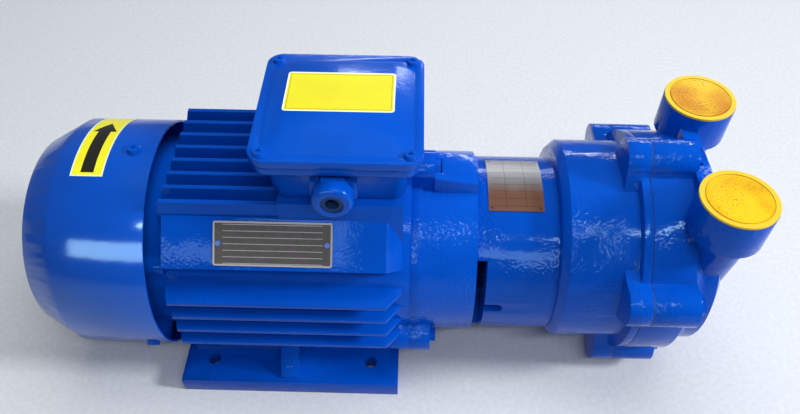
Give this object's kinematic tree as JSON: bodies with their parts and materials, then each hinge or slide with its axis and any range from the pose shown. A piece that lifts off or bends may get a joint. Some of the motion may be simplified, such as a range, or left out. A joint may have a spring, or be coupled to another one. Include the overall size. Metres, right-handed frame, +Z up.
{
  "type": "liquid ring vacuum pump",
  "caption": "Close-coupled liquid-ring vacuum pump on a finned, fan-cooled foot motor with terminal box, twin upright ports with push-in caps, turning rotor and vaned impeller.",
  "frame": {"origin": "centre of the four foot holes, on the plane that the feet stand on", "axes": "+X along the shaft from the fan cover to the pump, +Y away from the terminal box's cable gland, +Z up"},
  "size_m": [0.4994, 0.1906, 0.2276],
  "materials": {
    "blue_paint": "thick glossy enamel over castings",
    "blue_sheet": "glossy enamel on pressed sheet",
    "blue_fasteners": "steel screws overpainted with the castings",
    "inner_steel": "machined steel",
    "laminations": "varnished laminations",
    "copper_winding": "varnished copper wire",
    "aluminium_cage": "die-cast",
    "black_plastic": "moulded",
    "rubber": "matte",
    "bronze": "cast and machined",
    "brass_studs": "turned",
    "seal_ceramic": "lapped ceramic",
    "yellow_cap": "injection moulded",
    "motor_plate": "anodised, with a bright border",
    "pump_plate": "bare sheet"
  },
  "bodies": {
    "base": {"motor_frame": "blue_paint", "drive_end_shield": "blue_paint", "rear_end_shield": "blue_paint", "terminal_box_base": "blue_paint", "terminal_box_lid": "blue_paint", "pump_casing": "blue_paint", "pump_cover": "blue_paint", "fan_cover": "blue_sheet", "fan_cover_screws": "blue_fasteners", "drive_shield_bolts": "blue_fasteners", "rear_shield_bolts": "blue_fasteners", "lid_screws": "blue_fasteners", "cover_bolts": "blue_fasteners", "drain_plug": "blue_fasteners", "cable_gland_body": "blue_paint", "cable_gland_nut": "blue_paint", "cable_gland_seal": "rubber", "stator_core": "laminations", "stator_windings": "copper_winding", "rear_bearing_outer": "inner_steel", "front_bearing_outer": "inner_steel", "wave_spring": "inner_steel", "terminal_box_gasket": "rubber", "terminal_board": "black_plastic", "terminal_studs": "brass_studs", "motor_nameplate": "motor_plate", "motor_plate_rivets": "aluminium_cage", "pump_nameplate": "pump_plate", "casing_screws": "inner_steel", "seal_seat": "seal_ceramic", "port_plate": "bronze", "valve_flap": "rubber", "valve_stop": "inner_steel", "valve_screws": "inner_steel", "cover_gasket": "rubber"},
    "rotor": {"shaft": "inner_steel", "rotor_core": "laminations", "rotor_end_rings": "aluminium_cage", "cooling_fan": "black_plastic", "fan_circlip": "inner_steel", "rear_bearing_inner": "inner_steel", "front_bearing_inner": "inner_steel", "slinger_ring": "rubber", "seal_head": "inner_steel", "impeller": "bronze", "impeller_key": "inner_steel", "impeller_washer": "inner_steel", "impeller_screw": "inner_steel"},
    "suction_cap": {"suction_cap": "yellow_cap"},
    "discharge_cap": {"discharge_cap": "yellow_cap"}
  },
  "joints": [
    {"name": "shaft_spin", "type": "hinge", "parent": "base", "child": "rotor", "pos_m": [0, 0, 0.09], "axis": [1, 0, 0], "continuous": true},
    {"name": "suction_cap_lift", "type": "slide", "parent": "base", "child": "suction_cap", "axis": [0, 0, 1], "range_m": [0, 0.12]},
    {"name": "discharge_cap_lift", "type": "slide", "parent": "base", "child": "discharge_cap", "axis": [0, 0, 1], "range_m": [0, 0.12]}
  ]
}
